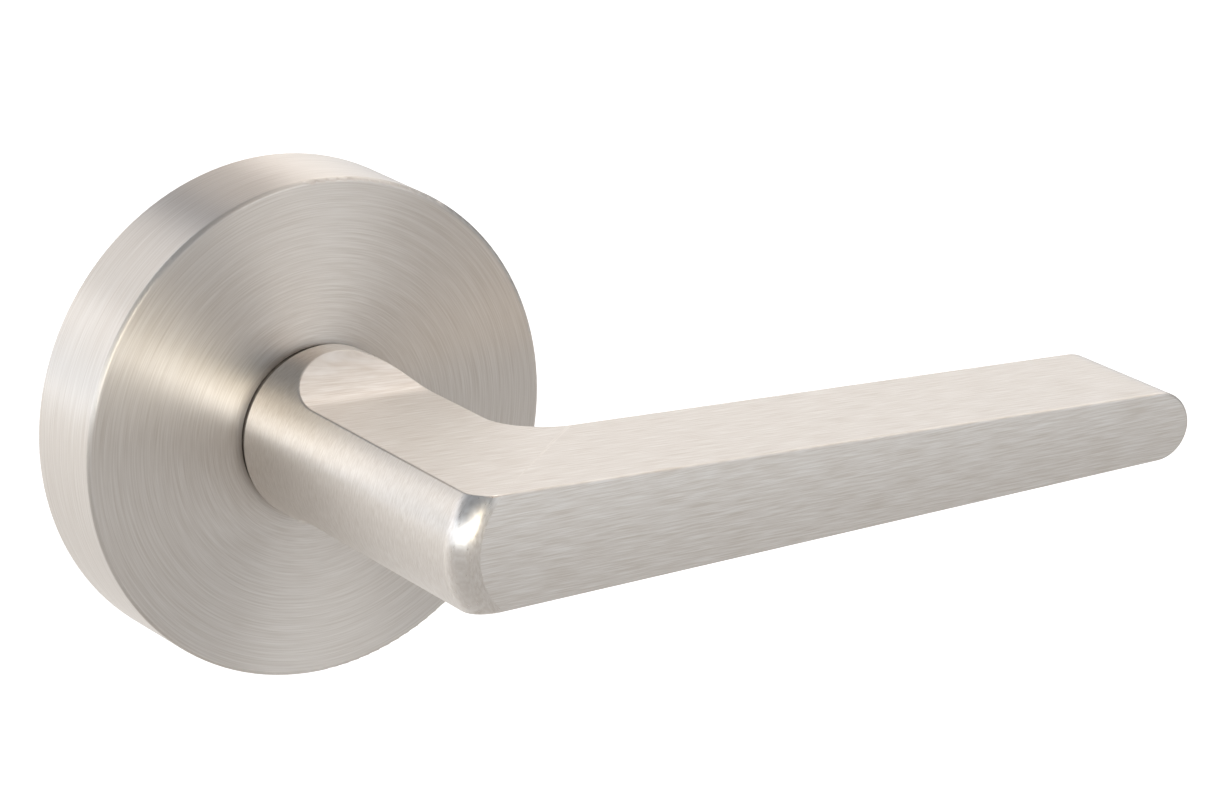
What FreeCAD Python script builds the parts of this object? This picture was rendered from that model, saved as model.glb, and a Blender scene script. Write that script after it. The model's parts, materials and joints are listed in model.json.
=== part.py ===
import FreeCAD, Part
import os
import math
import Sketcher
from FreeCAD import Vector, Placement, Rotation

# Sprung door lever on a round rose, one side of a door set.
# Frame: origin at the middle of the rose's door face, +Z up, -Y out of the door, lever towards +X.
# Every "depth" below is a distance out of the door face, so a depth d lies at y = -d.

doc = FreeCAD.newDocument("door_lever")
os.makedirs("parts", exist_ok=True)

# -------------------------------- driving dimensions (mm, degrees)
DIMS = [
    # rose cover and its snap ring
    ("rose_r", 32.5), ("rose_front", 13.55), ("rose_wall", 1.2), ("rose_edge_r", 0.6),
    ("rose_hole_r", 11.0), ("clip_groove_r", 31.7), ("clip_d", 6.0), ("clip_wire_r", 0.6),
    ("clip_ring_r", 30.9), ("clip_slack", 0.25), ("clip_seat", 0.1), ("rim_chamfer", 0.25),
    ("body_chamfer", 0.6), ("beyond", 1.0),
    # gasket, back plate and die-cast body
    ("gasket_r", 30.2), ("gasket_bore_r", 14.6), ("gasket_screw_r", 3.1), ("plate_back", 0.6),
    ("plate_r", 30.2),
    ("plate_bore_r", 10.5), ("body_r", 30.7), ("body_front", 12.2), ("body_back", 1.8),
    ("wall_back", 10.0), ("chamber_r", 27.6), ("hub_bore_r", 10.0), ("hub_out_r", 11.2),
    ("hub_back", 6.2), ("seat_r", 12.0), ("seat_d", 11.55), ("lug_half", 3.0), ("lug_in", 15.0),
    ("lug_out", 18.6), ("lug_back", 5.6),
    # fixings
    ("post_x", 19.0), ("post_r", 3.5), ("post_boss_r", 5.0), ("post_len", 16.0), ("post_in", 9.0),
    ("post_fit", 0.02), ("plate_slack", 0.2), ("gasket_slack", 0.6), ("tap_m4_r", 1.65),
    ("tap_m4_len", 20.0), ("screw_ring_r", 26.6), ("screw_boss_r", 3.0), ("m3_hole_r", 1.5),
    ("m3_hole_len", 6.0), ("m3_r", 1.46), ("m3_clear_r", 1.65), ("m3_head_r", 2.65), ("m3_len", 6.0),
    ("m3_hex_af", 2.0), ("m3_hex_len", 1.0), ("head_gap", 0.02), ("wood_z", 26.4), ("wood_r", 1.75),
    ("wood_neck_r", 1.3), ("wood_hole_r", 2.0), ("wood_head_r", 3.4), ("wood_head_hole_r", 3.6),
    ("wood_head_back", 10.05), ("wood_head_front", 11.7), ("wood_sink", 2.2), ("wood_boss_r", 3.3),
    ("wood_tip_d", -12.4), ("wood_tip_r", 0.25), ("wood_point", 3.6), ("wood_hex_af", 2.6),
    ("wood_hex_len", 1.2),
    # lever
    ("shoulder", 14.55), ("journal_r", 9.0), ("journal_back", 1.0), ("flat_af", 14.0),
    ("flat_front", 5.3), ("shank_r", 11.35), ("neck_front", 28.0), ("shank_end_r", 11.6),
    ("shank_lean", 0.35), ("lever_front", 67.65), ("grip_root", 45.9), ("grip_back_tip", 47.6),
    ("half_h", 7.21), ("taper_deg", 1.71), ("tip_x", 91.3), ("grip_end", 100.0), ("crown_deg", 6.0),
    ("over", 15.0),
    ("inner_r", 7.0), ("corner_r", 3.2), ("edge_r", 0.35), ("runout_d", 27.0), ("runout_r", 12.2),
    ("socket_af", 8.1), ("socket_front", 42.0), ("grub_d", 17.6), ("grub_hole_r", 2.5), ("grub_r", 2.45),
    ("grub_len", 4.9), ("grub_hex_af", 2.5), ("grub_hex_len", 2.5), ("spindle_af", 8.0),
    ("spindle_front", 41.0), ("spindle_back", 38.0), ("spindle_edge", 0.4),
    # bearing and washers
    ("bush_r", 9.98), ("bush_bore_r", 9.05), ("flange_r", 11.8), ("flange_back", 11.57),
    ("bush_back", 6.4), ("bush_front", 12.25), ("washer_r", 10.7), ("washer_bore_r", 9.35),
    ("washer_back", 12.35), ("washer_front", 14.5), ("thrust_r", 11.1), ("thrust_bore_r", 9.3),
    ("thrust_back", 5.3), ("thrust_front", 6.05), ("wave_back", 3.05), ("wave_front", 3.65),
    ("ring_back", 1.8), ("ring_t", 1.2), ("groove_r", 8.5), ("ring_slack", 0.05), ("ring_out_r", 11.3),
    ("ring_gap", 2.4), ("plier_r", 0.55), ("plier_x", 2.2), ("plier_z", 9.9),
    # driver and return spring
    ("driver_back", 3.7), ("driver_front", 5.2), ("driver_r", 13.4), ("arm_r", 22.3), ("arm_half", 7.0),
    ("arm_low", 21.2), ("tab_in", 20.4), ("tab_front", 9.6), ("driver_bore_r", 9.08),
    ("driver_flat_af", 14.1), ("coil_r", 13.0), ("wire_r", 0.7), ("coil_back", 6.25),
    ("coil_pitch", 1.5), ("leg_x", 4.0), ("leg_top", 23.2), ("sleeve_r", 11.95), ("sleeve_bore_r", 11.3),
    ("sleeve_back", 6.3), ("sleeve_front", 9.9),
]
D = dict(DIMS)
sheet = doc.addObject("Spreadsheet::Sheet", "dims")
for row, (name, value) in enumerate(DIMS, start=1):
    sheet.set("A%d" % row, name)
    sheet.set("B%d" % row, str(value))
    sheet.setAlias("B%d" % row, name)
doc.recompute()


# -------------------------------- helpers
def ref(expr):
    """Turn dimension names in an expression into spreadsheet references."""
    out = str(expr)
    for name in sorted(D, key=len, reverse=True):
        out = out.replace(name, "\0%d\0" % list(D).index(name))
    for i, name in enumerate(D):
        out = out.replace("\0%d\0" % i, "dims." + name)
    return out


def val(expr):
    """The number an expression stands for."""
    text, total = str(expr).replace(" ", ""), 0.0
    for part in text.replace("-", "+-").split("+"):
        if not part:
            continue
        sign = -1.0 if part.startswith("-") else 1.0
        product = 1.0
        for factor in part.lstrip("-").split("*"):
            over = factor.split("/")
            product *= D[over[0]] if over[0] in D else float(over[0])
            for below in over[1:]:
                product /= D[below] if below in D else float(below)
        total += sign * product
    return total


def polar(radius, degrees):
    """Sketch coordinates of a point at an angle on a pitch circle, as expressions."""
    pair = (math.cos(math.radians(degrees)), math.sin(math.radians(degrees)))
    return tuple("%s%s*%.6f" % ("-" if v < 0 else "", radius, abs(v)) for v in pair)


def new_body(label):
    body = doc.addObject("PartDesign::Body", label)
    body.Label = label
    return body


def plane(body, role):
    return [f for f in body.Origin.OriginFeatures if f.Role == role][0]


def new_sketch(body, role="XZ_Plane", depth=None):
    """Sketch on one of the body's origin planes, pushed out of the door by depth when given."""
    sk = body.newObject("Sketcher::SketchObject", body.Name + "_sketch")
    sk.AttachmentSupport = [(plane(body, role), "")]
    sk.MapMode = "FlatFace"
    if depth is not None:
        sk.AttachmentOffset = Placement(Vector(0, 0, val(depth)), Rotation())
        sk.setExpression(".AttachmentOffset.Base.z", ref(depth))
    return sk


def pin(sk, geo, pos, x, y, tag):
    """Hold one point of the sketch at (x, y)."""
    for kind, expr, axis in (("DistanceX", x, "x"), ("DistanceY", y, "y")):
        if abs(val(expr)) < 1e-9:
            line = -2 if kind == "DistanceX" else -1
            sk.addConstraint(Sketcher.Constraint("PointOnObject", geo, pos, line))
            continue
        i = sk.addConstraint(Sketcher.Constraint(kind, -1, 1, geo, pos, val(expr)))
        sk.renameConstraint(i, tag + axis)
        sk.setExpression("Constraints." + tag + axis, ref(expr))


def circle(sk, r, x="0", y="0"):
    g = sk.addGeometry(Part.Circle(Vector(val(x), val(y), 0), Vector(0, 0, 1), val(r)), False)
    pin(sk, g, 3, x, y, "c%d" % g)
    i = sk.addConstraint(Sketcher.Constraint("Radius", g, val(r)))
    sk.renameConstraint(i, "r%d" % g)
    sk.setExpression("Constraints.r%d" % g, ref(r))
    return g


def polygon(sk, points):
    first = sk.GeometryCount
    n = len(points)
    spots = [Vector(val(x), val(y), 0) for x, y in points]
    for i in range(n):
        sk.addGeometry(Part.LineSegment(spots[i], spots[(i + 1) % n]), False)
    for i in range(n):
        sk.addConstraint(Sketcher.Constraint("Coincident", first + i, 2, first + (i + 1) % n, 1))
    for i, (x, y) in enumerate(points):
        pin(sk, first + i, 1, x, y, "p%d" % (first + i))


def box(sk, x1, y1, x2, y2):
    polygon(sk, [(x1, y1), (x2, y1), (x2, y2), (x1, y2)])


def pad(body, sk, length, inward=False, midplane=False):
    f = body.newObject("PartDesign::Pad", body.Name + "_pad")
    f.Profile = sk
    f.Length = val(length)
    f.setExpression("Length", ref(length))
    f.Reversed = inward
    f.Midplane = midplane
    doc.recompute()
    return f


def cut(body, sk, length, inward=False, midplane=False):
    """Pocket; by default it removes material towards the front of the sketch plane."""
    before = body.Shape.Volume
    f = body.newObject("PartDesign::Pocket", body.Name + "_pocket")
    f.Profile = sk
    f.Length = val(length)
    f.setExpression("Length", ref(length))
    f.Reversed = not inward
    f.Midplane = midplane
    doc.recompute()
    if not body.Shape.Volume < before - 1e-6:
        raise ValueError("nothing cut from " + body.Label)
    return f


def edges_where(shape, test):
    return ["Edge%d" % (i + 1) for i, e in enumerate(shape.Edges) if test(e)]


def dress(body, kind, names, size):
    if not names:
        raise ValueError("no edges to dress on " + body.Label)
    f = body.newObject("PartDesign::" + kind, body.Name + "_" + kind.lower())
    f.Base = (body.Tip if body.Tip is not f else f.BaseFeature, names)
    attr = "Radius" if kind == "Fillet" else "Size"
    setattr(f, attr, val(size))
    f.setExpression(attr, ref(size))
    doc.recompute()
    return f


def on_circle(e, r, d, cx=0.0, cz=0.0):
    """True for an edge lying on the circle of radius r about (cx, cz) at depth d."""
    first, last = e.FirstParameter, e.LastParameter
    for v in (e.valueAt(first), e.valueAt(last), e.valueAt((first + last) / 2)):
        if abs(v.y + d) > 1e-3 or abs(math.hypot(v.x - cx, v.z - cz) - r) > 1e-3:
            return False
    return True


def ring(label, r_out, r_in, back, front):
    """Plain turned ring between two depths."""
    body = new_body(label)
    sk = new_sketch(body, depth=back)
    circle(sk, r_out)
    if r_in:
        circle(sk, r_in)
    pad(body, sk, front + "-" + back)
    return body


# -------------------------------- rose cover: turned cap over the whole mechanism
cover = ring("rose_cover", "rose_r", "", "0", "rose_front")
sk = new_sketch(cover, depth="0")
circle(sk, "rose_r-rose_wall")
cut(cover, sk, "rose_front-rose_wall")
sk = new_sketch(cover, depth="rose_front")
circle(sk, "rose_hole_r")
cut(cover, sk, "2*rose_wall", inward=True)
sk = new_sketch(cover, depth="clip_d-clip_wire_r-clip_slack")
circle(sk, "clip_groove_r")
cut(cover, sk, "2*clip_wire_r+2*clip_slack")
front_rim = edges_where(cover.Shape, lambda e: on_circle(e, D["rose_r"], D["rose_front"]))
dress(cover, "Fillet", front_rim, "rose_edge_r")
back_rim = edges_where(cover.Shape, lambda e: on_circle(e, D["rose_r"], 0))
dress(cover, "Chamfer", back_rim, "rim_chamfer")

# -------------------------------- rose body: die-cast housing with chamber, hub and bosses
base = new_body("rose_body")
sk = new_sketch(base, depth="body_back")
circle(sk, "body_r")
pad(base, sk, "body_front-body_back")
sk = new_sketch(base, depth="body_back")
circle(sk, "chamber_r")
cut(base, sk, "wall_back-body_back")
sk = new_sketch(base, depth="wall_back")
circle(sk, "hub_out_r")
pad(base, sk, "wall_back-hub_back", inward=True)
for x in ("post_x", "-post_x"):
    sk = new_sketch(base, depth="wall_back")
    circle(sk, "post_boss_r", x)
    pad(base, sk, "wall_back-body_back", inward=True)
SCREW_ANGLES = (38, 142, 218, 322)
for ang in SCREW_ANGLES:
    sk = new_sketch(base, depth="wall_back")
    circle(sk, "screw_boss_r", *polar("screw_ring_r", ang))
    pad(base, sk, "wall_back-body_back", inward=True)
for z in ("wood_z", "-wood_z"):
    sk = new_sketch(base, depth="wall_back")
    circle(sk, "wood_boss_r", "0", z)
    pad(base, sk, "wall_back-body_back", inward=True)
sk = new_sketch(base, depth="wall_back")
box(sk, "-lug_half", "lug_in", "lug_half", "lug_out")
pad(base, sk, "wall_back-lug_back", inward=True)
sk = new_sketch(base, depth="body_front")
circle(sk, "hub_bore_r")
cut(base, sk, "body_front", inward=True)
sk = new_sketch(base, depth="body_front")
circle(sk, "seat_r")
cut(base, sk, "body_front-seat_d", inward=True)
sk = new_sketch(base, depth="body_back")
for x in ("post_x", "-post_x"):
    circle(sk, "post_r", x)
cut(base, sk, "post_in-body_back")
sk = new_sketch(base, depth="body_back")
for ang in SCREW_ANGLES:
    circle(sk, "m3_hole_r", *polar("screw_ring_r", ang))
cut(base, sk, "m3_hole_len")
sk = new_sketch(base, depth="body_back")
for z in ("wood_z", "-wood_z"):
    circle(sk, "wood_hole_r", "0", z)
cut(base, sk, "body_front")
sk = new_sketch(base, depth="body_front")
for z in ("wood_z", "-wood_z"):
    circle(sk, "wood_head_hole_r", "0", z)
cut(base, sk, "wood_sink", inward=True)
sk = new_sketch(base, depth="clip_d-clip_wire_r-clip_seat")
circle(sk, "body_r+beyond")
circle(sk, "clip_ring_r-clip_wire_r-clip_seat")
cut(base, sk, "2*clip_wire_r+2*clip_seat")
body_rim = edges_where(base.Shape, lambda e: on_circle(e, D["body_r"], D["body_front"]))
dress(base, "Chamfer", body_rim, "body_chamfer")

# -------------------------------- back plate, gasket and fixings
back_plate = new_body("back_plate")
gasket = new_body("door_gasket")
for body, back, front, r, bore, slack in (
        (back_plate, "plate_back", "body_back", "plate_r", "plate_bore_r", "plate_slack"),
        (gasket, "0", "plate_back", "gasket_r", "gasket_bore_r", "gasket_slack")):
    sk = new_sketch(body, depth=back)
    circle(sk, r)
    circle(sk, bore)
    for x in ("post_x", "-post_x"):
        circle(sk, "post_r+" + slack, x)
    for z in ("wood_z", "-wood_z"):
        circle(sk, "wood_hole_r", "0", z)
    for ang in SCREW_ANGLES:
        circle(sk, "m3_clear_r" if body is back_plate else "gasket_screw_r", *polar("screw_ring_r", ang))
    pad(body, sk, front + "-" + back)
M3_HOLES = [[val(v) for v in polar("screw_ring_r", a)] for a in SCREW_ANGLES]
countersinks = edges_where(back_plate.Shape, lambda e: any(
    on_circle(e, D["m3_clear_r"], D["plate_back"], x, z) for x, z in M3_HOLES))
dress(back_plate, "Chamfer", countersinks, "m3_head_r+0.1-m3_clear_r")


# -------------------------------- primitives for round stock, standing out of the door
OUT = Rotation(Vector(1, 0, 0), 90)


def place(obj, x, depth, z, turn=OUT):
    obj.Placement = Placement(Vector(val(x), -val(depth), val(z)), turn)
    for axis, expr in (("x", x), ("y", depth), ("z", z)):
        text = ref(expr)
        obj.setExpression(".Placement.Base." + axis, "-(%s)" % text if axis == "y" else text)
    return obj


def rod(label, r, depth, length, x="0", z="0"):
    o = doc.addObject("Part::Cylinder", label)
    o.Radius, o.Height = val(r), val(length)
    o.setExpression("Radius", ref(r))
    o.setExpression("Height", ref(length))
    return place(o, x, depth, z)


def cone(label, r1, r2, depth, length, x="0", z="0"):
    o = doc.addObject("Part::Cone", label)
    o.Radius1, o.Radius2, o.Height = val(r1), val(r2), val(length)
    o.setExpression("Radius1", ref(r1))
    o.setExpression("Radius2", ref(r2))
    o.setExpression("Height", ref(length))
    return place(o, x, depth, z)


def hexagon(label, af, depth, length, x="0", z="0"):
    o = doc.addObject("Part::Prism", label)
    o.Polygon, o.Circumradius, o.Height = 6, val(af) / math.sqrt(3), val(length)
    o.setExpression("Circumradius", "(%s)/sqrt(3)" % ref(af))
    o.setExpression("Height", ref(length))
    return place(o, x, depth, z)


def fuse(label, shapes):
    o = doc.addObject("Part::MultiFuse", label)
    o.Shapes = shapes
    o.Label = label
    return o


def less(label, base_obj, tool):
    o = doc.addObject("Part::Cut", label)
    o.Base, o.Tool = base_obj, tool
    o.Label = label
    doc.recompute()
    if not o.Shape.Volume < base_obj.Shape.Volume - 1e-6:
        raise ValueError("nothing cut from " + label)
    return o


def group(label, shapes):
    o = doc.addObject("Part::Compound", label)
    o.Links = shapes
    o.Label = label
    return o


# back plate screws: M3 countersunk, heads flush with the plate's door side
made = []
for i, ang in enumerate(SCREW_ANGLES):
    x, z = polar("screw_ring_r", ang)
    head = cone("m3_head_%d" % i, "m3_head_r", "m3_r", "plate_back+head_gap", "m3_head_r-m3_r", x, z)
    stem = rod("m3_stem_%d" % i, "m3_r", "plate_back+m3_head_r-m3_r", "m3_len-m3_head_r+m3_r", x, z)
    socket = hexagon("m3_socket_%d" % i, "m3_hex_af", "plate_back", "m3_hex_len", x, z)
    made.append(less("m3_screw_%d" % i, fuse("m3_solid_%d" % i, [head, stem]), socket))
screws = group("back_plate_screws", made)

# wood screws: countersunk in the body's front wall, plain neck through the rose, thread and point in the door
made = []
for i, z in enumerate(("wood_z", "-wood_z")):
    head = cone("wood_head_%d" % i, "wood_neck_r", "wood_head_r", "wood_head_back",
                "wood_head_front-wood_head_back", "0", z)
    neck = rod("wood_neck_%d" % i, "wood_neck_r", "0", "wood_head_back", "0", z)
    thread = rod("wood_thread_%d" % i, "wood_r", "wood_tip_d+wood_point", "-wood_tip_d-wood_point", "0", z)
    point = cone("wood_point_%d" % i, "wood_tip_r", "wood_r", "wood_tip_d", "wood_point", "0", z)
    slot = hexagon("wood_socket_%d" % i, "wood_hex_af", "wood_head_front-wood_hex_len", "2*wood_hex_len",
                   "0", z)
    made.append(less("wood_screw_%d" % i, fuse("wood_solid_%d" % i, [point, thread, neck, head]), slot))
wood_screws = group("wood_screws", made)

# fixing posts: steel tubes pressed in the body, tapped M4 from the door side
made = []
for i, x in enumerate(("post_x", "-post_x")):
    tube = rod("post_tube_%d" % i, "post_r-post_fit", "-post_len", "post_len+post_in-post_fit", x)
    tap = rod("post_tap_%d" % i, "tap_m4_r", "-post_len-beyond", "tap_m4_len+beyond", x)
    made.append(less("post_%d" % i, tube, tap))
posts = group("fixing_posts", made)

# cover snap ring: round wire with a gap, sitting in the body's groove
SNAP_ARC = 330
torus = doc.addObject("Part::Torus", "snap_torus")
torus.Radius1, torus.Radius2, torus.Angle3 = val("clip_ring_r"), val("clip_wire_r"), SNAP_ARC
torus.setExpression("Radius1", ref("clip_ring_r"))
torus.setExpression("Radius2", ref("clip_wire_r"))
place(torus, "0", "clip_d", "0", OUT.multiply(Rotation(Vector(0, 0, 1), 90 - SNAP_ARC / 2)))
snap = group("cover_snap_ring", [torus])

# -------------------------------- bearing and washers
bush = ring("bearing_bush", "bush_r", "bush_bore_r", "bush_back", "bush_front")
sk = new_sketch(bush, depth="flange_back")
circle(sk, "flange_r")
circle(sk, "bush_bore_r")
pad(bush, sk, "bush_front-flange_back")
shoulder_washer = ring("shoulder_washer", "washer_r", "washer_bore_r", "washer_back", "washer_front")
sleeve = ring("spring_sleeve", "sleeve_r", "sleeve_bore_r", "sleeve_back", "sleeve_front")
thrust = ring("thrust_washer", "thrust_r", "thrust_bore_r", "thrust_back", "thrust_front")
wave = ring("wave_washer", "thrust_r", "thrust_bore_r", "wave_back", "wave_front")
clip = new_body("retaining_ring")
sk = new_sketch(clip, depth="ring_back")
circle(sk, "ring_out_r")
circle(sk, "groove_r+ring_slack")
pad(clip, sk, "ring_t")
sk = new_sketch(clip, depth="ring_back")
box(sk, "-ring_gap/2", "-ring_out_r-beyond", "ring_gap/2", "0")
cut(clip, sk, "ring_t")
sk = new_sketch(clip, depth="ring_back")
for x in ("plier_x", "-plier_x"):
    circle(sk, "plier_r", x, "-plier_z")
cut(clip, sk, "ring_t")

# -------------------------------- spring driver: pressed steel, keyed on the journal's flats
driver = new_body("driver_blank")
sk = new_sketch(driver, depth="driver_back")
circle(sk, "driver_r")
pad(driver, sk, "driver_front-driver_back")
sk = new_sketch(driver, depth="driver_back")
box(sk, "-lug_half", "0", "lug_half", "arm_r")
pad(driver, sk, "driver_front-driver_back")
sk = new_sketch(driver, depth="driver_back")
box(sk, "-arm_half", "-arm_low", "arm_half", "0")
pad(driver, sk, "driver_front-driver_back")
sk = new_sketch(driver, depth="driver_back")
box(sk, "-lug_half", "tab_in", "lug_half", "arm_r")
pad(driver, sk, "tab_front-driver_back")
bore = rod("driver_bore", "driver_bore_r", "driver_back-beyond", "driver_front-driver_back+2*beyond")
key = doc.addObject("Part::Box", "driver_key")
key_sizes = (("Length", "driver_flat_af"), ("Width", "2*driver_r"),
             ("Height", "driver_front-driver_back+2*beyond"))
for side, expr in key_sizes:
    setattr(key, side, val(expr))
    key.setExpression(side, ref(expr))
place(key, "-driver_flat_af/2", "driver_back-beyond", "-driver_r", OUT)
double_d = doc.addObject("Part::MultiCommon", "driver_double_d")
double_d.Shapes = [bore, key]
keyed_driver = less("spring_driver", driver, double_d)

# -------------------------------- return spring: coil with two radial legs astride the lug
coil_start = 180 - math.degrees(math.acos(D["leg_x"] / D["coil_r"]))
turns = 2 - (coil_start - 90) / 180
helix = doc.addObject("Part::Helix", "spring_helix")
helix.Pitch, helix.Radius = val("coil_pitch"), val("coil_r")
helix.Height = val("coil_pitch") * turns
helix.setExpression("Pitch", ref("coil_pitch"))
helix.setExpression("Radius", ref("coil_r"))
helix.setExpression("Height", "%s*%.6f" % (ref("coil_pitch"), turns))
wire = doc.addObject("Part::Circle", "spring_wire")
wire.Radius = val("wire_r")
wire.setExpression("Radius", ref("wire_r"))
wire.Placement = Placement(Vector(val("coil_r"), 0, 0), Rotation(Vector(1, 0, 0), 90))
wire.setExpression(".Placement.Base.x", ref("coil_r"))
coil = doc.addObject("Part::Sweep", "spring_coil")
coil.Sections, coil.Spine, coil.Solid, coil.Frenet = [wire], (helix, ["Edge1"]), True, True
doc.recompute()
coil_turn = OUT.multiply(Rotation(Vector(0, 0, 1), coil_start))
placed = doc.addObject("Part::Compound", "spring_coil_placed")
placed.Links = [coil]
place(placed, "0", "coil_back", "0", coil_turn)
parts_of_spring = [placed]
leg_z = math.sqrt(D["coil_r"] ** 2 - D["leg_x"] ** 2)
leg_starts = (("-leg_x", "coil_back"), ("leg_x", "coil_back+coil_pitch*%.6f" % turns))
for i, (x, depth) in enumerate(leg_starts):
    leg = doc.addObject("Part::Cylinder", "spring_leg_%d" % i)
    leg.Radius, leg.Height = val("wire_r"), val("leg_top") - leg_z
    leg.setExpression("Radius", ref("wire_r"))
    leg.setExpression("Height", "%s-%.6f" % (ref("leg_top"), leg_z))
    place(leg, x, depth, "%.6f" % leg_z, Rotation())
    knee = doc.addObject("Part::Sphere", "spring_knee_%d" % i)
    knee.Radius = val("wire_r")
    knee.setExpression("Radius", ref("wire_r"))
    place(knee, x, depth, "%.6f" % leg_z, Rotation())
    parts_of_spring += [leg, knee]
spring = fuse("return_spring", parts_of_spring)

# -------------------------------- spindle and grub screw
spindle = new_body("spindle")
sk = new_sketch(spindle, depth="-spindle_back")
box(sk, "-spindle_af/2", "-spindle_af/2", "spindle_af/2", "spindle_af/2")
pad(spindle, sk, "spindle_back+spindle_front")
long_edges = edges_where(spindle.Shape, lambda e: abs(e.tangentAt(e.FirstParameter).y) > 0.99)
dress(spindle, "Chamfer", long_edges, "spindle_edge")
DOWN = Rotation(Vector(1, 0, 0), 180)
grub_solid = rod("grub_solid", "grub_r", "0", "grub_len")
place(grub_solid, "0", "grub_d", "-spindle_af/2-head_gap", DOWN)
grub_hex = hexagon("grub_hex", "grub_hex_af", "0", "grub_hex_len+beyond")
place(grub_hex, "0", "grub_d", "-spindle_af/2-grub_len+grub_hex_len", DOWN)
grub = less("grub_screw", grub_solid, grub_hex)

# -------------------------------- lever: journal, round shank, milled flats, tapered grip
lever = new_body("lever")
sk = new_sketch(lever, depth="journal_back")
circle(sk, "journal_r")
pad(lever, sk, "shoulder-journal_back")
sk = new_sketch(lever, depth="shoulder")
circle(sk, "shank_r")
pad(lever, sk, "neck_front-shoulder")
loft = lever.newObject("PartDesign::AdditiveLoft", "lever_shank")
near = new_sketch(lever, depth="neck_front")
circle(near, "shank_r")
far = new_sketch(lever, depth="lever_front+beyond")
circle(far, "shank_end_r", "-shank_lean")
loft.Profile = near
loft.Sections = [far]
loft.Ruled = True
lever.Tip = loft
doc.recompute()

# grip: plan outline with a slightly slanting inner face, taller than needed, trimmed by the two tapered flats
sk = new_sketch(lever, "XY_Plane")
polygon(sk, [("0", "-lever_front-beyond"), ("grip_end", "-lever_front-beyond"), ("grip_end", "-grip_back_tip"),
             ("0", "-grip_root")])
pad(lever, sk, "2*over", midplane=True)

# the two flats: milled, tapering towards the tip, each with a round run-out in the shank
taper = math.radians(D["taper_deg"])
for side in (1, -1):
    sk = new_sketch(lever, "YZ_Plane")
    sk.AttachmentOffset = Placement(Vector(0, 0, 0), Rotation(Vector(1, 0, 0), side * D["taper_deg"]))
    low = side * D["half_h"] * math.cos(taper)
    high = low + side * D["runout_r"]
    end, start, top = -D["lever_front"] - D["over"], -D["runout_d"], -D["runout_d"] + D["runout_r"]
    half_way = D["runout_r"] * math.sqrt(0.5)
    middle = Vector(start + half_way, high - side * half_way, 0)
    sk.addGeometry(Part.LineSegment(Vector(end, low, 0), Vector(start, low, 0)), False)
    sk.addGeometry(Part.ArcOfCircle(Vector(start, low, 0), middle, Vector(top, high, 0)), False)
    sk.addGeometry(Part.LineSegment(Vector(top, high, 0), Vector(end, high, 0)), False)
    sk.addGeometry(Part.LineSegment(Vector(end, high, 0), Vector(end, low, 0)), False)
    cut(lever, sk, "2*grip_end+4*over", midplane=True)

# crowned front face: arcs whose ends lean back by the same angle at the shank and at the narrower tip
crown = lever.newObject("PartDesign::SubtractiveLoft", "lever_crown")
sections = []
for x in (-2 * D["shank_r"], D["grip_end"] + D["beyond"]):
    sk = new_sketch(lever, "YZ_Plane")
    sk.AttachmentOffset = Placement(Vector(0, 0, x), Rotation())
    reach = math.radians(1.5 * D["crown_deg"])
    radius = (D["half_h"] - x * math.tan(taper)) / math.sin(math.radians(D["crown_deg"]))
    apex, ahead = -D["lever_front"], -D["lever_front"] - D["over"]
    edge_y, edge_z = apex + radius * (1 - math.cos(reach)), radius * math.sin(reach)
    spots = [Vector(edge_y, edge_z, 0), Vector(ahead, edge_z, 0), Vector(ahead, -edge_z, 0),
             Vector(edge_y, -edge_z, 0)]
    for a, b in zip(spots, spots[1:]):
        sk.addGeometry(Part.LineSegment(a, b), False)
    sk.addGeometry(Part.ArcOfCircle(spots[3], Vector(apex, 0, 0), spots[0]), False)
    sections.append(sk)
crown.Profile, crown.Sections, crown.Ruled = sections[0], [sections[1]], True
flat_volume = lever.Shape.Volume
lever.Tip = crown
doc.recompute()
if not lever.Shape.Volume < flat_volume - 1:
    raise ValueError("the crown cuts nothing")

# rounded tip, tangent to both flats
tip_r = (D["half_h"] - D["tip_x"] * math.tan(taper)) * math.cos(taper)
tx, tz = D["tip_x"] + tip_r * math.sin(taper), tip_r * math.cos(taper)
far_x, far_z = D["grip_end"] + D["beyond"], D["over"] + D["beyond"]
sk = new_sketch(lever, depth="grip_root-beyond")
corners = [Vector(tx, tz, 0), Vector(tx, far_z, 0), Vector(far_x, far_z, 0), Vector(far_x, -far_z, 0),
           Vector(tx, -far_z, 0), Vector(tx, -tz, 0)]
for a, b in zip(corners, corners[1:]):
    sk.addGeometry(Part.LineSegment(a, b), False)
round_tip = Part.ArcOfCircle(Vector(tx, -tz, 0), Vector(D["tip_x"] + tip_r, 0, 0), Vector(tx, tz, 0))
sk.addGeometry(round_tip, False)
cut(lever, sk, "lever_front")


def mid(e):
    return e.valueAt((e.FirstParameter + e.LastParameter) / 2)


# rounded inner corner between shank and grip, rounded outer corner between shank and front face
def inner_corner(e):
    m = mid(e)
    return 9.5 < m.x < 12 and -46.4 < m.y < -45.8 and abs(m.z) < 5


dress(lever, "Fillet", edges_where(lever.Shape, inner_corner), "inner_r")
outer = edges_where(lever.Shape, lambda e: mid(e).x < -11 and mid(e).y < -D["lever_front"] + 0.1)
dress(lever, "Fillet", outer, "corner_r")


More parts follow.
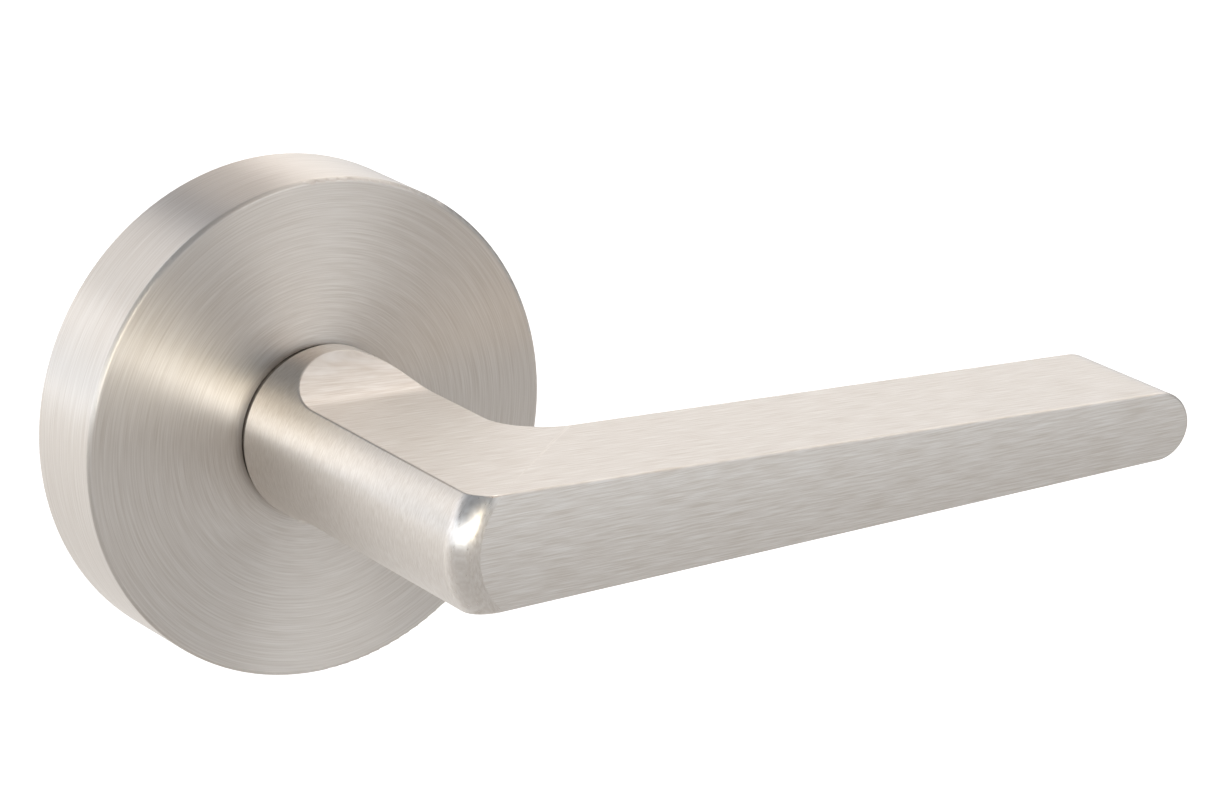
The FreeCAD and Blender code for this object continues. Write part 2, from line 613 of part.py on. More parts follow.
def flat_rim(e):
    """Edges round the two milled flats and the grip's front and back faces, past the run-out."""
    m = mid(e)
    if m.y > -27.6 or e.Length < 0.3:
        return False
    top = abs(abs(m.z) - (D["half_h"] - m.x * math.tan(taper))) < 0.02
    ends = [e.valueAt(e.FirstParameter), e.valueAt(e.LastParameter)]
    front = m.x > 0 and all(p.y < 1 - D["lever_front"] for p in ends + [m])
    across = abs(ends[0].x - ends[1].x) < 0.01 and abs(ends[0].z - ends[1].z) < 0.01
    tip_back = m.x > D["tip_x"] and not front and m.y > -48.2
    return (top or front or tip_back) and not across


dress(lever, "Fillet", edges_where(lever.Shape, flat_rim), "edge_r")

# journal details: spindle socket, two driver flats, ring groove; then the tapped hole for the grub screw
sk = new_sketch(lever, depth="journal_back")
box(sk, "-socket_af/2", "-socket_af/2", "socket_af/2", "socket_af/2")
cut(lever, sk, "socket_front-journal_back")
sk = new_sketch(lever, depth="journal_back")
for x1, x2 in (("flat_af/2", "journal_r+beyond"), ("-journal_r-beyond", "-flat_af/2")):
    box(sk, x1, "-journal_r-beyond", x2, "journal_r+beyond")
cut(lever, sk, "flat_front-journal_back")
sk = new_sketch(lever, depth="ring_back-ring_slack")
circle(sk, "journal_r+beyond")
circle(sk, "groove_r")
cut(lever, sk, "ring_t+2*ring_slack")
sk = new_sketch(lever, "XY_Plane")
circle(sk, "grub_hole_r", "0", "-grub_d")
cut(lever, sk, "shank_r+beyond", inward=True)
shoulder_rim = edges_where(lever.Shape, lambda e: on_circle(e, D["shank_r"], D["shoulder"]))
dress(lever, "Chamfer", shoulder_rim, "rim_chamfer")

# -------------------------------- check and export
NODES = {
    "lever": lever, "grub_screw": grub, "spindle": spindle, "shoulder_washer": shoulder_washer,
    "rose_cover": cover, "cover_snap_ring": snap, "rose_body": base, "bearing_bush": bush,
    "spring_sleeve": sleeve, "return_spring": spring, "spring_driver": keyed_driver, "thrust_washer": thrust,
    "wave_washer": wave, "retaining_ring": clip, "back_plate": back_plate, "back_plate_screws": screws,
    "fixing_posts": posts, "wood_screws": wood_screws, "door_gasket": gasket,
}
doc.recompute()
for obj in doc.Objects:
    for state in obj.State:
        if state in ("Invalid", "Error"):
            raise ValueError("%s is %s" % (obj.Label, state))
for name, obj in NODES.items():
    shape = obj.Shape
    if shape.isNull() or not shape.isValid():
        raise ValueError(name + " has a bad shape")
    shape.exportStep("parts/" + name + ".step")
    b = shape.BoundBox
    print("%-18s %2d solids %10.2f mm3  x %.2f %.2f  y %.2f %.2f  z %.2f %.2f" % (
        name, len(shape.Solids), shape.Volume, b.XMin, b.XMax, b.YMin, b.YMax, b.ZMin, b.ZMax))
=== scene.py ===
# %% [markdown]
# # A door lever on a round rose, in satin nickel
# The handle comes in as a finished assembly in its own frame: the origin is on the spindle in the plane of
# the door's face, +Y goes into the door, -Y comes out to the hand, +X runs along the grip and +Z is up.
# Blender gives it its camera, light and finishes, and makes again the small pieces whose detail repeats:
# threads, a coil, a wave.

# %% Load the assembly
import json
import math
import bmesh
import bpy
from mathutils import Matrix, Vector


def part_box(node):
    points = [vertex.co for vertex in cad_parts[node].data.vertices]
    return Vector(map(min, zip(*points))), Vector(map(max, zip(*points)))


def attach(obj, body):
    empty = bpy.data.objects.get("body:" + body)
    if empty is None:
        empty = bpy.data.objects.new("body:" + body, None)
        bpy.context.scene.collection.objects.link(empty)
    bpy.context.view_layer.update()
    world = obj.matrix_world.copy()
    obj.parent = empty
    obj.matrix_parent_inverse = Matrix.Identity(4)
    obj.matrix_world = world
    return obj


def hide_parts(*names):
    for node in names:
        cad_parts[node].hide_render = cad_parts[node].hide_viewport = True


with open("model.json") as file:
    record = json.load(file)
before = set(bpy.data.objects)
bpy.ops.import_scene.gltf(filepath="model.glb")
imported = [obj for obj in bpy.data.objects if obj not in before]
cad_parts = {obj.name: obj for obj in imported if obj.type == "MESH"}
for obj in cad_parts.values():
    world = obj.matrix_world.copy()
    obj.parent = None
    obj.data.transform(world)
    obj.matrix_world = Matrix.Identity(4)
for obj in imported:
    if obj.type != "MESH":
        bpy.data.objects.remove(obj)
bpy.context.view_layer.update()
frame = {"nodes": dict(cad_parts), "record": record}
MM = 0.001

# %% [markdown]
# ## Camera
# Product pictures of small metal parts are taken from well back with a long lens, so that the round rose
# doesn't bulge. The camera stands to the left of the door's normal and a little above the handle, and looks
# at a point between the rose and the grip.

# %% Place the camera
AZIMUTH, ELEVATION, ROLL = math.radians(-32.2), math.radians(17.4), math.radians(0.4)
DISTANCE = 0.785
AIM = Vector((37.1, -22.7, -0.3)) * MM
back = Vector((math.sin(AZIMUTH) * math.cos(ELEVATION), -math.cos(AZIMUTH) * math.cos(ELEVATION),
               math.sin(ELEVATION)))
right = Vector((math.cos(AZIMUTH), math.sin(AZIMUTH), 0))
up = back.cross(right)
turned_right = right * math.cos(ROLL) + up * math.sin(ROLL)
turned_up = up * math.cos(ROLL) - right * math.sin(ROLL)
lens = bpy.data.cameras.new("camera")
lens.lens, lens.sensor_width = 182.4, 36
camera = bpy.data.objects.new("camera", lens)
axes = Matrix((turned_right, turned_up, back)).transposed().to_4x4()
camera.matrix_world = Matrix.Translation(AIM + back * DISTANCE) @ axes
bpy.context.scene.collection.objects.link(camera)
bpy.context.scene.camera = camera
print("camera at", [round(v, 3) for v in camera.location], "m")

# %% [markdown]
# ## Colours and nodes
# Colours are picked as sRGB hex codes and the shaders work in linear light, so one function turns them
# over. A second small function adds any node with its settings and links, which keeps each material short
# enough to read.

# %% Helpers for colours and nodes
def linear(code):
    """Linear RGBA of an sRGB hex code."""
    parts = [int(code[i:i + 2], 16) / 255 for i in (1, 3, 5)]
    return [c / 12.92 if c <= 0.04045 else ((c + 0.055) / 1.055) ** 2.4 for c in parts] + [1.0]


def add(tree, kind, inputs=None, **settings):
    """Add a node, give it its settings, then fill its sockets with values or link them to other sockets."""
    node = tree.nodes.new(kind)
    for name, value in settings.items():
        setattr(node, name, value)
    for name, value in (inputs or {}).items():
        if isinstance(value, bpy.types.NodeSocket):
            tree.links.new(value, node.inputs[name])
        else:
            node.inputs[name].default_value = value
    return node


def new_material(name):
    """An empty material and its tree."""
    material = bpy.data.materials.new(name)
    material.use_nodes = True
    material.node_tree.nodes.clear()
    return material, material.node_tree


def finish_surface(tree, inputs):
    """A Principled surface on the material's output."""
    surface = add(tree, "ShaderNodeBsdfPrincipled", inputs)
    add(tree, "ShaderNodeOutputMaterial", {"Surface": surface.outputs["BSDF"]})
    return surface

# %% [markdown]
# ## The studio
# Metal shows its surroundings more than itself, so most of its look is the room. The pale floor lies well
# below the handle, so that its own shadow stays out of the picture. A photographer would stand softboxes
# round it. Here they are soft round patches painted on the sky, which are simpler to balance than ten lamps
# and have no hard edges. Each patch says where it is, how wide it is, how much light it adds and its tint.
#
# The amounts and tints weren't set by eye. Another program fitted them to the wanted shading by least
# squares, they were rounded, and some were then changed. The direction and strength of the floor's
# glow come from the same fit, and earlier fits guided where the patches lie. A few lamps set by hand would
# make a better lesson.

# %% Floor
FLOOR_DROP, FLOOR_SPAN = 0.16, 4.0
bpy.context.scene.view_settings.view_transform = "Standard"
mesh = bpy.data.meshes.new("floor")
corners = [(-1, -1), (1, -1), (1, 1), (-1, 1)]
mesh.from_pydata([(x * FLOOR_SPAN, y * FLOOR_SPAN, -FLOOR_DROP) for x, y in corners], [], [(0, 1, 2, 3)])
floor = bpy.data.objects.new("floor", mesh)
bpy.context.scene.collection.objects.link(floor)
# white paper over a light table: its glow starts in front of the handle and grows towards the back
GLOW_WAY, GLOW_START, GLOW_FULL, GLOW_STRENGTH = (0.22, 0.975, 0), -0.25, 0.35, 0.62
paper, tree = new_material("white paper, lit from below")
where = add(tree, "ShaderNodeTexCoord").outputs["Object"]
rearwards = add(tree, "ShaderNodeVectorMath", {0: where, 1: GLOW_WAY}, operation="DOT_PRODUCT")
glow = add(tree, "ShaderNodeMapRange", {
    "Value": rearwards.outputs["Value"], "From Min": GLOW_START, "From Max": GLOW_FULL,
    "To Max": GLOW_STRENGTH}, interpolation_type="SMOOTHSTEP")
finish_surface(tree, {"Base Color": linear("#DAD9D7"), "Roughness": 0.9, "Emission Color": linear("#FFFFFF"),
                      "Emission Strength": glow.outputs[0]})
mesh.materials.append(paper)

# %% Sky with soft patches of light
PATCH_CORE = 0.45       # share of a patch's radius that has its full light
PATCHES = [
    # azimuth (0 in front of the door, positive to the right), elevation, radius in degrees, light and tint
    (0, 90, 180, 0.42, "#E6F1FF"),      # fill, from everywhere
    (-40, 4, 16, 2.7, "#F6FBFF"),       # a long low key from the front left round to the side
    (-58, 4, 18, 2.1, "#F7FCFF"),
    (-78, 4, 18, 1.5, "#F7FCFF"),
    (-100, 5, 20, 1.15, "#E7F1FF"),
    (-34, 17, 12, 1.6, "#FFFCF5"),      # beside the camera
    (-14, 6, 14, 4.0, "#FFF7E2"),       # small warm card low in front
    (28, 8, 16, 1.55, "#F6FBFF"),       # front right
    (20, 45, 20, 0.8, "#FFE0BC"),       # high in front, warm
    (95, 52, 27, 2.6, "#FFF8F2"),       # high on the right
    (140, 14, 20, 0.6, "#FFFFFF"),      # behind, right to left
    (165, 16, 20, 0.55, "#FFE6D8"),
    (150, 45, 26, 0.4, "#FFF0D8"),
    (-170, 14, 22, 1.4, "#FFF6E8"),
    (-150, 35, 28, 0.5, "#F8F8FF"),
    (-128, 12, 24, 1.15, "#FCFCFF"),
]


def patch_light(tree, way, azimuth, elevation, radius, amount, tint):
    """Light of one soft patch: full in its middle and gone at its radius."""
    a, e = math.radians(azimuth), math.radians(elevation)
    middle = (math.sin(a) * math.cos(e), -math.cos(a) * math.cos(e), math.sin(e))
    facing = add(tree, "ShaderNodeVectorMath", {0: way, 1: middle}, operation="DOT_PRODUCT")
    level = add(tree, "ShaderNodeMapRange", {
        "Value": facing.outputs["Value"], "From Min": math.cos(math.radians(radius)),
        "From Max": math.cos(math.radians(radius * PATCH_CORE)), "To Max": amount},
                interpolation_type="SMOOTHSTEP")
    return add(tree, "ShaderNodeVectorMath", {0: linear(tint)[:3], "Scale": level.outputs[0]},
               operation="SCALE").outputs[0]


world = bpy.data.worlds.new("studio")
bpy.context.scene.world = world
world.use_nodes = True
tree = world.node_tree
tree.nodes.clear()
way = add(tree, "ShaderNodeTexCoord").outputs["Generated"]
total = (0, 0, 0)
for patch in PATCHES:
    total = add(tree, "ShaderNodeVectorMath", {0: total, 1: patch_light(tree, way, *patch)}).outputs[0]
lit = add(tree, "ShaderNodeBackground", {"Color": total})
seen = add(tree, "ShaderNodeBackground", {"Color": linear("#FFFFFF")})
direct = add(tree, "ShaderNodeLightPath").outputs["Is Camera Ray"]
sky = add(tree, "ShaderNodeMixShader", {0: direct, 1: lit.outputs[0], 2: seen.outputs[0]})
add(tree, "ShaderNodeOutputWorld", {"Surface": sky.outputs[0]})
print("sky patches:", len(PATCHES))

# %% [markdown]
# ## Satin nickel
# The lever and the cover are cast or pressed, polished, plated with nickel and then brushed with a fine
# abrasive. The brushing leaves thousands of parallel scratches. Each one is a tiny groove that spreads
# light across itself and hardly along itself, so highlights stretch across the grain. That is what the
# anisotropic lobe does, once it is told which way is across. The scratches that show as separate lines are
# drawn with noise that is drawn out along the grain. Three directions are needed: round the spindle's axis
# for everything turned or brushed while it spins, along the grip for its long faces, and round the tip.

# %% Directions of the grain
def across_grain(tree, scratch, normal):
    """Unit vector across the scratches, in the surface, in world space."""
    across = add(tree, "ShaderNodeVectorMath", {0: scratch, 1: normal}, operation="CROSS_PRODUCT")
    unit = add(tree, "ShaderNodeVectorMath", {0: across.outputs[0]}, operation="NORMALIZE")
    return add(tree, "ShaderNodeVectorTransform", {"Vector": unit.outputs[0]}, vector_type="VECTOR",
               convert_from="OBJECT", convert_to="WORLD").outputs[0]


def grain_lines(tree, grain, where, normal, length):
    """Scratch direction, place along the grain in scratch lengths, and place across it in metres."""
    part = add(tree, "ShaderNodeSeparateXYZ", {0: where})
    if grain == "turned":
        flat = add(tree, "ShaderNodeVectorMath", {0: where, 1: (1, 0, 1)}, operation="MULTIPLY")
        spoke = add(tree, "ShaderNodeVectorMath", {0: flat.outputs[0]}, operation="NORMALIZE").outputs[0]
        radius = add(tree, "ShaderNodeVectorMath", {0: flat.outputs[0]}, operation="LENGTH").outputs["Value"]
        along = add(tree, "ShaderNodeVectorMath", {0: spoke, "Scale": TURNED_R / length}, operation="SCALE")
        across = add(tree, "ShaderNodeMath", {0: radius, 1: part.outputs["Y"]}, operation="SUBTRACT")
        scratch = add(tree, "ShaderNodeVectorMath", {0: (0, 1, 0), 1: spoke}, operation="CROSS_PRODUCT")
        return scratch.outputs[0], along.outputs[0], across.outputs[0]
    way, scratch = part.outputs["X"], (1, 0, 0)
    if grain == "tip":
        way = part.outputs["Z"]
        scratch = add(tree, "ShaderNodeVectorMath", {0: (0, 1, 0), 1: normal},
                      operation="CROSS_PRODUCT").outputs[0]
    steps = add(tree, "ShaderNodeMath", {0: way, 1: length}, operation="DIVIDE")
    along = add(tree, "ShaderNodeCombineXYZ", {"X": steps.outputs[0]})
    side = part.outputs["Y"] if grain == "tip" else add(
        tree, "ShaderNodeMath", {0: part.outputs["Y"], 1: part.outputs["Z"]}, operation="SUBTRACT").outputs[0]
    return scratch, along.outputs[0], side


def streaks(tree, along, across, spacing):
    """Noise drawn out along the grain, with lines about this far apart."""
    near = add(tree, "ShaderNodeMath", {0: across, 1: spacing}, operation="DIVIDE")
    sideways = add(tree, "ShaderNodeCombineXYZ", {"Y": near.outputs[0]})
    place = add(tree, "ShaderNodeVectorMath", {0: along, 1: sideways.outputs[0]}, operation="ADD")
    return add(tree, "ShaderNodeTexNoise", {"Vector": place.outputs[0], "Scale": 1.0, "Detail": 2.0,
                                           "Roughness": 0.55}).outputs[0]


# %% Brushed nickel
TURNED_R = 18 * MM      # radius at which a round scratch has its stated length
FINE, COARSE = 0.10 * MM, 0.26 * MM     # spacing of the scratches that show; finer ones only give the sheen
ROUGH_SPREAD = 0.03     # how far the roughness wanders from scratch to scratch


def brushed_nickel(name, grain, roughness=0.34, anisotropy=0.88, light="#E2DCD5", dark="#D2CAC1", length=1.8,
                   depth=0.004, edge_rough=0.2):
    """Satin nickel, scratched round the axis ("turned"), along X ("lengthwise") or round the tip ("tip")."""
    material, tree = new_material(name)
    place = add(tree, "ShaderNodeTexCoord")
    where, normal = place.outputs["Object"], place.outputs["Normal"]
    scratch, along, across = grain_lines(tree, grain, where, normal, length * MM)
    fine, coarse = streaks(tree, along, across, FINE), streaks(tree, along, across, COARSE)
    mixed = add(tree, "ShaderNodeMath", {0: fine, 1: coarse}, operation="ADD")
    tone = add(tree, "ShaderNodeMapRange", {"Value": mixed.outputs[0], "From Min": 0.75, "From Max": 1.25})
    colour = add(tree, "ShaderNodeMix", {0: tone.outputs[0], 6: linear(dark), 7: linear(light)},
                 data_type="RGBA")
    rough = add(tree, "ShaderNodeMapRange", {"Value": fine, "From Min": 0.3, "From Max": 0.7,
                                             "To Min": roughness - ROUGH_SPREAD,
                                             "To Max": roughness + ROUGH_SPREAD})
    # the buff wheel takes the edges softer: more roughness where the surface turns from one face to the next
    lean = add(tree, "ShaderNodeMath", {0: add(tree, "ShaderNodeSeparateXYZ", {0: normal}).outputs["Y"]},
               operation="ABSOLUTE").outputs[0]
    rising = add(tree, "ShaderNodeMapRange", {"Value": lean, "From Min": 0.05, "From Max": 0.3}).outputs[0]
    falling = add(tree, "ShaderNodeMapRange", {"Value": lean, "From Min": 0.98, "From Max": 0.8}).outputs[0]
    edge = add(tree, "ShaderNodeMath", {0: rising, 1: falling}, operation="MULTIPLY").outputs[0]
    rough = add(tree, "ShaderNodeMath", {0: edge, 1: edge_rough, 2: rough.outputs[0]},
                operation="MULTIPLY_ADD")
    relief = add(tree, "ShaderNodeBump", {"Strength": 1.0, "Distance": depth * MM,
                                          "Height": mixed.outputs[0]})
    finish_surface(tree, {"Base Color": colour.outputs[2], "Metallic": 1.0, "Roughness": rough.outputs[0],
                          "Anisotropic": anisotropy, "Tangent": across_grain(tree, scratch, normal),
                          "Normal": relief.outputs[0]})
    return material


TURNED = brushed_nickel("satin nickel, brushed round the axis", "turned")
LENGTHWISE = brushed_nickel("satin nickel, brushed along the grip", "lengthwise", light="#E2DDD7",
                            dark="#CCC3B9", length=5.0, depth=0.005)
ROUND_TIP = brushed_nickel("satin nickel, brushed round the tip", "tip")
CORNER = brushed_nickel("satin nickel, buffed corner", "turned", roughness=0.3, anisotropy=0.7, length=1.5,
                        edge_rough=0.0)
COVER = brushed_nickel("satin nickel, turned cover", "turned", anisotropy=0.93, length=6.0)
print("nickel finishes:", len([TURNED, LENGTHWISE, ROUND_TIP, CORNER, COVER]))

# %% [markdown]
# ## Finishes of the hidden pieces
# Behind the cover sit a zinc die casting, steel pieces with a bright zinc plating, oiled spring steel, two
# nylons and a foam seal. Each is told apart by its colour and by how its surface was made: grainy from the
# die, slightly cloudy and blue to yellow from the plating bath, dark and streaky from drawing, smooth and
# faintly see-through, or porous.

# %% Finishes that are not nickel
CLOUD = 6 * MM      # width of the slow changes of colour


def other_finish(name, light, dark, roughness, metallic=0.0, grain=1.0, relief=0.01, spread=0.08, **extra):
    """A finish that wanders between two colours, with its grain's size and its relief's depth in mm."""
    material, tree = new_material(name)
    where = add(tree, "ShaderNodeTexCoord").outputs["Object"]
    cloud = add(tree, "ShaderNodeTexNoise", {"Vector": where, "Scale": 1 / CLOUD, "Detail": 3.0}).outputs[0]
    fine = add(tree, "ShaderNodeTexNoise", {"Vector": where, "Scale": 1 / (grain * MM),
                                            "Detail": 4.0}).outputs[0]
    mixed = add(tree, "ShaderNodeMath", {0: cloud, 1: fine}, operation="ADD").outputs[0]
    tone = add(tree, "ShaderNodeMapRange", {"Value": mixed, "From Min": 0.75, "From Max": 1.25}).outputs[0]
    colour = add(tree, "ShaderNodeMix", {0: tone, 6: linear(dark), 7: linear(light)},
                 data_type="RGBA").outputs[2]
    rough = add(tree, "ShaderNodeMapRange", {"Value": fine, "From Min": 0.3, "From Max": 0.7,
                                             "To Min": roughness - spread,
                                             "To Max": roughness + spread}).outputs[0]
    bump = add(tree, "ShaderNodeBump", {"Strength": 1.0, "Distance": relief * MM, "Height": fine}).outputs[0]
    finish_surface(tree, {"Base Color": colour, "Metallic": metallic, "Roughness": rough, "Normal": bump,
                          **extra})
    return material


# die cast zinc: matt grey with the fine orange peel of the die
CASTING = other_finish("zinc die casting", "#B4B6B8", "#94979A", 0.48, 1.0, grain=0.6, relief=0.006,
                       spread=0.04)
# bright zinc plate: shiny, blue-white with yellowish clouds where the passivation is thicker
SCREW_STEEL = other_finish("steel, bright zinc plated", "#CDD1D6", "#C6C2AE", 0.3, 1.0, grain=2.5, relief=0.0,
                           spread=0.03)
# hard drawn wire, oiled: dark, fairly shiny, with faint drawing marks
SPRING_WIRE = other_finish("spring steel, oiled", "#716E6A", "#4B4845", 0.34, 1.0, grain=0.6, relief=0.0,
                           spread=0.04)
# nylon as moulded: off-white, soft sheen, a little light goes through
NATURAL_NYLON = other_finish("nylon, natural", "#E9E4D6", "#DDD6C4", 0.42, grain=0.4, relief=0.006,
                             **{"Subsurface Weight": 0.2, "Subsurface Scale": 0.002, "IOR": 1.53})
# dyed nylon: dark brown-grey in the gap behind the lever, soft sheen
DARK_NYLON = other_finish("nylon, dyed dark", "#978B7F", "#80756B", 0.45, grain=0.4, relief=0.006,
                          **{"IOR": 1.53})
# closed-cell foam: dark, dull, its cells show as pits
SEAL_FOAM = other_finish("closed-cell foam", "#3A3A3C", "#1E1E20", 0.86, grain=0.35, relief=0.08)
print("hidden finishes:", len([CASTING, SCREW_STEEL, SPRING_WIRE, NATURAL_NYLON, DARK_NYLON, SEAL_FOAM]))

# %% [markdown]
# ## The lever's faces
# One casting carries several grains, because a belt, a brush wheel and a hand buff each touch different
# faces. The casting's shape is already right, so a copy of its mesh keeps it and each face is handed to the
# grain that it was brushed with, from the way it points and where it lies.

# %% Sort the lever's faces by grain
def hand_over(piece, node):
    """Let a piece stand for a CAD node: it joins the node's body, and the node is hidden."""
    body = next(b for b, nodes in frame["record"]["behaviour"]["bodies"].items() if node in nodes)
    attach(piece, body)
    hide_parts(node)


slot_of = {row["node"]: row["material_slot"] for row in frame["record"]["subparts"]}
lever = bpy.data.objects.new("satin_lever", frame["nodes"]["lever"].data.copy())
bpy.context.scene.collection.objects.link(lever)
hand_over(lever, "lever")
grains = [TURNED, LENGTHWISE, ROUND_TIP, CORNER]
lever.data.materials.clear()
for material in grains:
    lever.data.materials.append(material)
low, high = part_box("lever")
SHANK_R, SHANK_END = 11.35 * MM, 13 * MM    # the grip's long faces begin at the shank's end
TIP_ROUND, CORNER_BAND = 8 * MM, 3.3 * MM   # the round tip's reach along the grip, the buffed corner's depth
NECK_STEP = 0.2 * MM                        # the milled flats lie at least this far inside the shank
counts = [0] * len(grains)
for face in lever.data.polygons:
    n, c = face.normal, face.center
    to_axis = math.hypot(c.x, c.z)
    on_flat = abs(n.z) > 0.9 and abs(n.x) < 0.2 and to_axis < SHANK_R - NECK_STEP
    if n.x > 0.35 and c.x > high.x - TIP_ROUND:
        grain = ROUND_TIP
    elif c.x < 0 and c.y < low.y + CORNER_BAND and n.x < -0.03 and n.y < -0.03:
        grain = CORNER
    elif on_flat or abs(n.y) > 0.6 or c.x > SHANK_END or n.y < -0.05 and abs(n.x) < 0.2:
        grain = LENGTHWISE
    else:
        grain = TURNED
    face.material_index = grains.index(grain)
    counts[face.material_index] += 1
print("lever faces per grain:", counts)

# %% [markdown]
# ## Turned pieces and their threads
# Screws and posts are turned or cold headed, then threaded. The blank is a stack of rings round the Y axis,
# each with its own radius, and a ring may be six-sided where a key goes in. The thread is a ridge that
# climbs the blank as a helix. It repeats, so Geometry Nodes draw it once from pitch, radius and turns, and
# then put a copy of the whole screw at each place. One tree does the wood screws, the small back plate
# screws and the threads inside the posts, where the ridge points inwards.

# %% Turned blanks
STEPS = 48


def turned_mesh(name, rings, closed=False):
    """Mesh of rings round the Y axis; a ring is (y, radius) or (y, half across flats, "hex"), all in mm."""
    points, faces = [], []
    for ring in rings:
        for i in range(STEPS):
            angle = 360 * i / STEPS
            reach = ring[1] / math.cos(math.radians((angle + 30) % 60 - 30)) if len(ring) > 2 else ring[1]
            points.append((reach * MM * math.cos(math.radians(angle)), ring[0] * MM,
                           reach * MM * math.sin(math.radians(angle))))
    pairs = [(j, j + 1) for j in range(len(rings) - 1)] + ([(len(rings) - 1, 0)] if closed else [])
    for a, b in pairs:
        for i in range(STEPS):
            k = (i + 1) % STEPS
            faces.append((a * STEPS + i, a * STEPS + k, b * STEPS + k, b * STEPS + i))
    if not closed:
        for ring, base in ((rings[0], 0), (rings[-1], (len(rings) - 1) * STEPS)):
            points.append((0, ring[0] * MM, 0))
            faces += [(base + i, base + (i + 1) % STEPS, len(points) - 1) for i in range(STEPS)]
    mesh = bpy.data.meshes.new(name)
    mesh.from_pydata(points, [], faces)
    shape = bmesh.new()
    shape.from_mesh(mesh)
    bmesh.ops.recalc_face_normals(shape, faces=shape.faces)
    shape.to_mesh(mesh)
    shape.free()
    return mesh


# %% The node tree for threads
def new_tree(name, sizes):
    """An empty geometry tree with named size inputs; gives the tree and its group input."""
    tree = bpy.data.node_groups.new(name, "GeometryNodeTree")
    tree.interface.new_socket("Geometry", in_out="INPUT", socket_type="NodeSocketGeometry")
    for label, kind in sizes.items():
        tree.interface.new_socket(label, in_out="INPUT", socket_type="NodeSocket" + kind)
    tree.interface.new_socket("Geometry", in_out="OUTPUT", socket_type="NodeSocketGeometry")
    return tree, add(tree, "NodeGroupInput").outputs


def close_tree(tree, shape, sizes):
    """Make instances real, give the material, and end the tree."""
    real = add(tree, "GeometryNodeRealizeInstances", {"Geometry": shape})
    done = add(tree, "GeometryNodeSetMaterial", {"Geometry": real.outputs[0], "Material": sizes["Finish"]})
    add(tree, "NodeGroupOutput", {"Geometry": done.outputs[0]})


THREAD, size = new_tree("helical thread, copied", {
    "Start": "Float", "Length": "Float", "Pitch": "Float", "Radius": "Float", "Depth": "Float",
    "Tip Length": "Float", "Ridge Turn": "Float", "Count": "Int", "Reach X": "Float", "Reach Z": "Float",
    "Finish": "Material"})
turns = add(THREAD, "ShaderNodeMath", {0: size["Length"], 1: size["Pitch"]}, operation="DIVIDE")
spiral = add(THREAD, "GeometryNodeCurveSpiral", {
    "Resolution": 20, "Rotations": turns.outputs[0], "Start Radius": size["Radius"],
    "End Radius": size["Radius"], "Height": size["Length"]})
spot = add(THREAD, "GeometryNodeInputPosition")
spot_parts = add(THREAD, "ShaderNodeSeparateXYZ", {0: spot.outputs[0]})
taper_at = add(THREAD, "ShaderNodeMath", {0: size["Length"], 1: size["Tip Length"]}, operation="SUBTRACT")
narrow = add(THREAD, "ShaderNodeMapRange", {"Value": spot_parts.outputs["Z"], "From Min": taper_at.outputs[0],
                                            "From Max": size["Length"], "To Min": 1.0, "To Max": 0.25})
slim = add(THREAD, "ShaderNodeCombineXYZ", {"X": narrow.outputs[0], "Y": narrow.outputs[0], "Z": 1.0})
slimmed = add(THREAD, "ShaderNodeVectorMath", {0: spot.outputs[0], 1: slim.outputs[0]}, operation="MULTIPLY")
path = add(THREAD, "GeometryNodeSetPosition", {"Geometry": spiral.outputs[0], "Position": slimmed.outputs[0]})
level = add(THREAD, "GeometryNodeSetCurveNormal", {"Curve": path.outputs[0]}, mode="Z_UP")
edge = add(THREAD, "GeometryNodeCurvePrimitiveCircle", {"Resolution": 3, "Radius": size["Depth"]})
ridge_turn = add(THREAD, "ShaderNodeCombineXYZ", {"Z": size["Ridge Turn"]})
edge_turned = add(THREAD, "GeometryNodeTransform", {"Geometry": edge.outputs[0],
                                                    "Rotation": ridge_turn.outputs[0]})
ridge = add(THREAD, "GeometryNodeCurveToMesh", {
    "Curve": level.outputs[0], "Profile Curve": edge_turned.outputs[0], "Fill Caps": True})
start = add(THREAD, "ShaderNodeCombineXYZ", {"Y": size["Start"]})
laid = add(THREAD, "GeometryNodeTransform", {"Geometry": ridge.outputs[0], "Rotation": (-math.pi / 2, 0, 0),
                                             "Translation": start.outputs[0]})
whole = add(THREAD, "GeometryNodeJoinGeometry", {"Geometry": laid.outputs[0]})
THREAD.links.new(size["Geometry"], whole.inputs[0])
number = add(THREAD, "GeometryNodeInputIndex")
odd = add(THREAD, "ShaderNodeMath", {0: number.outputs[0], 1: 2.0}, operation="MODULO")
doubled = add(THREAD, "ShaderNodeMath", {0: number.outputs[0], 1: 2.0}, operation="MULTIPLY")
half = add(THREAD, "ShaderNodeMath", {0: doubled.outputs[0], 1: size["Count"]}, operation="DIVIDE")
late = add(THREAD, "ShaderNodeMath", {0: half.outputs[0]}, operation="FLOOR")
sides = []
for flag, reach in ((odd, "Reach X"), (late, "Reach Z")):
    sign = add(THREAD, "ShaderNodeMath", {0: flag.outputs[0], 1: -2.0, 2: 1.0}, operation="MULTIPLY_ADD")
    side = add(THREAD, "ShaderNodeMath", {0: sign.outputs[0], 1: size[reach]}, operation="MULTIPLY")
    sides.append(side.outputs[0])
places = add(THREAD, "ShaderNodeCombineXYZ", {"X": sides[0], "Z": sides[1]})
points = add(THREAD, "GeometryNodePoints", {"Count": size["Count"], "Position": places.outputs[0]})
copies = add(THREAD, "GeometryNodeInstanceOnPoints", {"Points": points.outputs[0],
                                                      "Instance": whole.outputs[0]})
close_tree(THREAD, copies.outputs[0], size)
print("thread tree:", len(THREAD.nodes), "nodes")

# %% [markdown]
# ## From node tree to plain mesh
# A tree's result has to become an ordinary mesh, because only real faces can be exported. So each piece is
# made the same way: blank in, tree on, sizes set by the sockets' own identifiers, result copied off and the
# modifier dropped.

